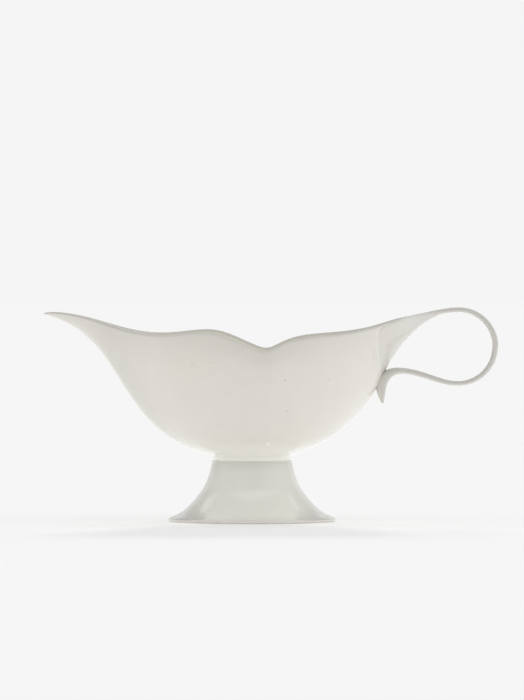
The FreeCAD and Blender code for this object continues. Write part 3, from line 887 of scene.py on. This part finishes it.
def umbrella(tree, place):
    """Round umbrella overhead. With the bowl's own reflection it makes the pale bell on the foot."""
    across, depth, up = axes(tree, place)
    height = calculate(tree, "MAXIMUM", up, LEAST_HEIGHT)
    turned = calculate(tree, "MULTIPLY_ADD", across, UMBRELLA_SLANT, depth)
    rear = calculate(tree, "DIVIDE", turned, height)
    spans = [calculate(tree, "SUBTRACT", calculate(tree, "DIVIDE", across, height), UMBRELLA_CENTRE[0]),
             calculate(tree, "SUBTRACT", rear, UMBRELLA_CENTRE[1])]
    squares = [calculate(tree, "MULTIPLY", span, span) for span in spans]
    out = calculate(tree, "SQRT", calculate(tree, "ADD", *squares))
    glow = UMBRELLA_GLOW
    for value, edge in ((out, UMBRELLA_RADIUS), (rear, UMBRELLA_REAR)):
        lit = smooth_step(tree, value, edge - UMBRELLA_EDGE, edge, 1.0, 0.0)
        glow = calculate(tree, "MULTIPLY", glow, lit)
    return glow


def backdrop(tree, place):
    """Low white screen behind the boat."""
    _, depth, up = axes(tree, place)
    screen = calculate(tree, "MULTIPLY", smooth_step(tree, depth, *BACKDROP_REAR),
                       smooth_step(tree, up, *BACKDROP_TOP, 1.0, 0.0))
    return calculate(tree, "MULTIPLY", screen, BACKDROP_GLOW)


def front_wall(tree, place):
    """Pale wall in front, fading upwards, so that the glaze shows no line where the table ends."""
    _, depth, up = axes(tree, place)
    return calculate(tree, "MULTIPLY", smooth_step(tree, depth, *FRONT_WALL_REAR, 1.0, 0.0),
                     smooth_step(tree, up, *FRONT_WALL_TOP, FRONT_WALL_GLOW, 0.0))


def make_world():
    """Soft lights on the boat; what its glaze mirrors; and the plain white backdrop that is seen."""
    world = bpy.data.worlds.new("studio")
    bpy.context.scene.world = world
    world.use_nodes = True
    tree = world.node_tree
    place = node(tree, "TexCoord").outputs["Generated"]
    glow = 0.0
    for light in SOFT_LIGHTS:
        glow = calculate(tree, "ADD", glow, soft_light(tree, place, *light))
    mirrored = calculate(tree, "ADD", calculate(tree, "MULTIPLY", glow, MIRRORED_SHARE),
                         calculate(tree, "ADD", umbrella(tree, place), backdrop(tree, place)))
    mirrored = calculate(tree, "ADD", mirrored, front_wall(tree, place))
    rays = node(tree, "LightPath").outputs
    shown = glow
    for kind, light in (("Is Glossy Ray", mirrored), ("Is Camera Ray", BACKGROUND)):
        mix = node(tree, "Mix", data_type="FLOAT")
        feed(tree, mix.inputs["Factor"], rays[kind])
        feed(tree, mix.inputs["A"], shown)
        feed(tree, mix.inputs["B"], light)
        shown = mix.outputs["Result"]
    tree.links.new(shown, tree.nodes["Background"].inputs["Color"])


def make_table():
    bpy.ops.mesh.primitive_plane_add(size=TABLE_SIZE, location=(0, 0, 0))
    table = bpy.context.object
    table.name = "table"
    material = bpy.data.materials.new("table_white")
    material.use_nodes = True
    shader = material.node_tree.nodes["Principled BSDF"]
    shader.inputs["Base Color"].default_value = (TABLE_ALBEDO, TABLE_ALBEDO, TABLE_ALBEDO, 1)
    shader.inputs["Roughness"].default_value = 1.0
    shader.inputs["Specular IOR Level"].default_value = 0.0
    shader.inputs["Emission Color"].default_value = (1, 1, 1, 1)
    tree = material.node_tree
    glow = node(tree, "Mix", data_type="FLOAT")
    feed(tree, glow.inputs["Factor"], node(tree, "LightPath").outputs["Is Camera Ray"])
    feed(tree, glow.inputs["A"], TABLE_GLOW_UNSEEN)
    feed(tree, glow.inputs["B"], TABLE_GLOW)
    tree.links.new(glow.outputs["Result"], shader.inputs["Emission Strength"])
    material.cycles.emission_sampling = "NONE"
    table.data.materials.append(material)
    return table


def make_table_lights(table):
    """Lights from behind that only reach the table, so that the boat's shadow falls forward."""
    receivers = bpy.data.collections.new("table_only")
    receivers.objects.link(table)
    for number, (elevation, spread, strength) in enumerate(BACK_LIGHTS, start=1):
        lamp = bpy.data.lights.new("back_light_%d" % number, "SUN")
        lamp.energy = strength
        lamp.angle = math.radians(spread)
        light = bpy.data.objects.new(lamp.name, lamp)
        bpy.context.scene.collection.objects.link(light)
        direction = Vector(light_direction(BACK_LIGHT_AZIMUTH, elevation))
        light.rotation_euler = direction.to_track_quat("Z", "Y").to_euler()
        light.light_linking.receiver_collection = receivers


def make_camera():
    camera = bpy.data.objects.new("camera", bpy.data.cameras.new("camera"))
    bpy.context.scene.collection.objects.link(camera)
    camera.location = (CAMERA_TARGET.x + CAMERA_SIDE, -CAMERA_DISTANCE, CAMERA_HEIGHT)
    camera.rotation_euler = (CAMERA_TARGET - camera.location).to_track_quat("-Z", "Y").to_euler()
    camera.data.sensor_width = SENSOR_WIDTH
    camera.data.lens = SENSOR_WIDTH * CAMERA_DISTANCE / VIEW_WIDTH
    camera.data.clip_end = CLIP_END
    bpy.context.scene.camera = camera


def dress(piece, cad_node, material):
    piece.data.materials.clear()
    piece.data.materials.append(material)
    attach(piece, "root")
    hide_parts(cad_node)


def main():
    scene = bpy.context.scene
    scene.view_settings.view_transform = "Standard"
    make_world()
    make_table_lights(make_table())
    make_camera()
    slip = slip_glaze()
    dress(make_bowl(), "bowl", bowl_glaze())
    dress(make_foot(), "foot", foot_glaze())
    dress(make_foot_bead(), "foot_slip_joint", slip)
    dress(make_handle(), "handle", handle_glaze())
    dress(make_handle_bead(), "handle_slip_joint", slip)


main()
